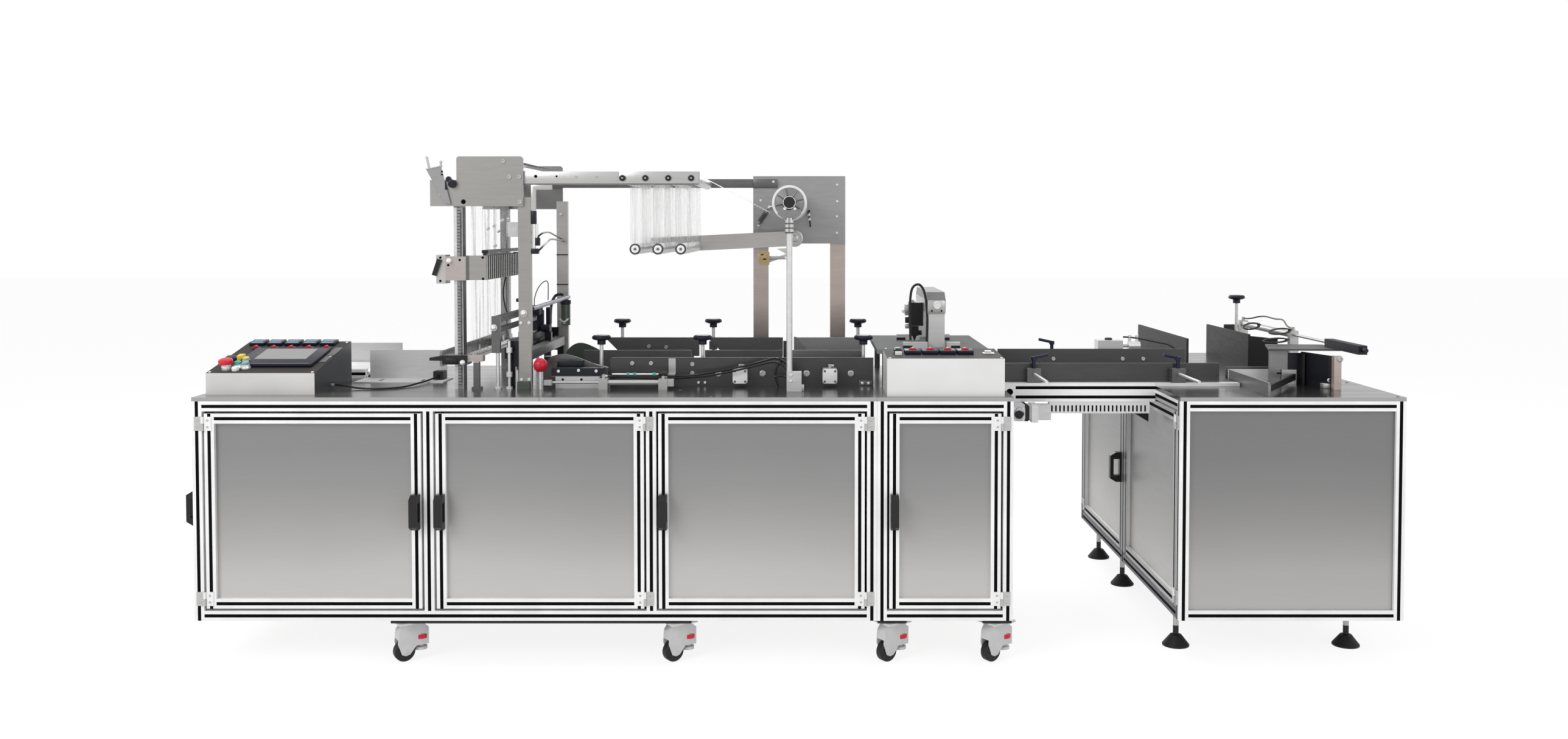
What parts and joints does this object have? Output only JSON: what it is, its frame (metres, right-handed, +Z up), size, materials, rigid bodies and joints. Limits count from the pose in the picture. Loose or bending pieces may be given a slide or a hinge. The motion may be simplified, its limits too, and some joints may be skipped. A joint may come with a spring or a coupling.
{
  "type": "film overwrapping machine",
  "caption": "Film overwrapping machine on slotted aluminium cabinets, with film unwind, dancer arm, guides, conveyor bridge, infeed table and hinged cabinet doors",
  "frame": {"origin": "the centre of the overall box in plan, on the floor", "axes": "+X runs along the line from the outfeed to the infeed, +Y to the rear, +Z up"},
  "size_m": [3.699, 1.43, 1.545],
  "materials": {
    "profile": "satin",
    "plate": "satin",
    "table": "satin",
    "sheet": "satin",
    "steel": "satin",
    "black_metal": "satin",
    "dark_metal": "satin",
    "white_paint": "satin",
    "grey_paint": "satin",
    "grey_plastic": "matte",
    "black_plastic": "matte",
    "black_rubber": "matte",
    "belt": "matte",
    "film": "gloss",
    "film_roll": "gloss"
  },
  "bodies": {
    "machine": {"posts": "profile", "long_rails": "profile", "cross_rails": "profile", "fixed_doors": "profile", "conveyor_beams": "profile", "outfeed_conveyor": "profile", "table_plates": "table", "fixed_panels": "sheet", "hinge_plates": "steel", "caster_mounts": "black_metal", "casters": "white_paint", "caster_wheels": "black_rubber", "levelling_feet": "black_plastic", "control_boxes": "grey_paint", "touch_screen": "grey_plastic", "panel_controls": "black_plastic", "probe_cable": "black_rubber", "air_hoses": "black_rubber", "sensor_heads": "black_plastic", "outfeed_guides": "steel", "tower_columns": "plate", "head_plates": "plate", "rollers": "steel", "roller_bars": "plate", "clamp_blocks": "dark_metal", "seal_unit": "dark_metal", "film_web": "film", "film_loops": "film", "unwind_stand": "plate", "guide_plates": "dark_metal", "adjuster_rods": "steel", "hand_knobs": "black_plastic", "air_cylinders": "plate", "station_plate": "dark_metal", "station_arch": "plate", "conveyor_belt": "belt", "gear_motor": "dark_metal", "cable_duct": "grey_plastic", "infeed_channel": "dark_metal"},
    "front_door_1": {"front_door_1_frame": "profile", "front_door_1_panel": "sheet", "front_door_1_handle": "black_plastic"},
    "front_door_2": {"front_door_2_frame": "profile", "front_door_2_panel": "sheet", "front_door_2_handle": "black_plastic"},
    "front_door_3": {"front_door_3_frame": "profile", "front_door_3_panel": "sheet", "front_door_3_handle": "black_plastic"},
    "junction_door": {"junction_door_frame": "profile", "junction_door_panel": "sheet", "junction_door_handle": "black_plastic"},
    "end_door": {"end_door_frame": "profile", "end_door_panel": "sheet", "end_door_handle": "black_plastic"},
    "infeed_door": {"infeed_door_frame": "profile", "infeed_door_panel": "sheet", "infeed_door_handle": "black_plastic"},
    "film_roll": {"film_roll": "film_roll"},
    "dancer": {"dancer_arm": "plate"}
  },
  "joints": [
    {"name": "front_door_1_hinge", "type": "hinge", "parent": "machine", "child": "front_door_1", "pos_m": [-1.776, -0.6795, 0.4675], "axis": [0, 0, -1], "range_deg": [0, 105]},
    {"name": "front_door_2_hinge", "type": "hinge", "parent": "machine", "child": "front_door_2", "pos_m": [-0.448, -0.6795, 0.4675], "axis": [0, 0, 1], "range_deg": [0, 105]},
    {"name": "front_door_3_hinge", "type": "hinge", "parent": "machine", "child": "front_door_3", "pos_m": [0.217, -0.6795, 0.4675], "axis": [0, 0, 1], "range_deg": [0, 105]},
    {"name": "junction_door_hinge", "type": "hinge", "parent": "machine", "child": "junction_door", "pos_m": [0.6275, -0.6795, 0.4675], "axis": [0, 0, 1], "range_deg": [0, 105]},
    {"name": "end_door_hinge", "type": "hinge", "parent": "machine", "child": "end_door", "pos_m": [-1.814, 0.1915, 0.4675], "axis": [0, 0, -1], "range_deg": [0, 105]},
    {"name": "infeed_door_hinge", "type": "hinge", "parent": "machine", "child": "infeed_door", "pos_m": [1.1565, 0.6815, 0.4675], "axis": [0, 0, -1], "range_deg": [0, 105]},
    {"name": "film_roll_turn", "type": "hinge", "parent": "machine", "child": "film_roll", "pos_m": [-0.0155, -0.18, 1.4], "axis": [0, 1, 0], "continuous": true},
    {"name": "dancer_swing", "type": "hinge", "parent": "machine", "child": "dancer", "pos_m": [-0.0055, 0.137, 1.283], "axis": [0, 1, 0], "range_deg": [-15, 12], "stiffness_Nm_per_rad": 150, "springref_deg": 11.46, "deforming": ["film_loops"]}
  ]
}
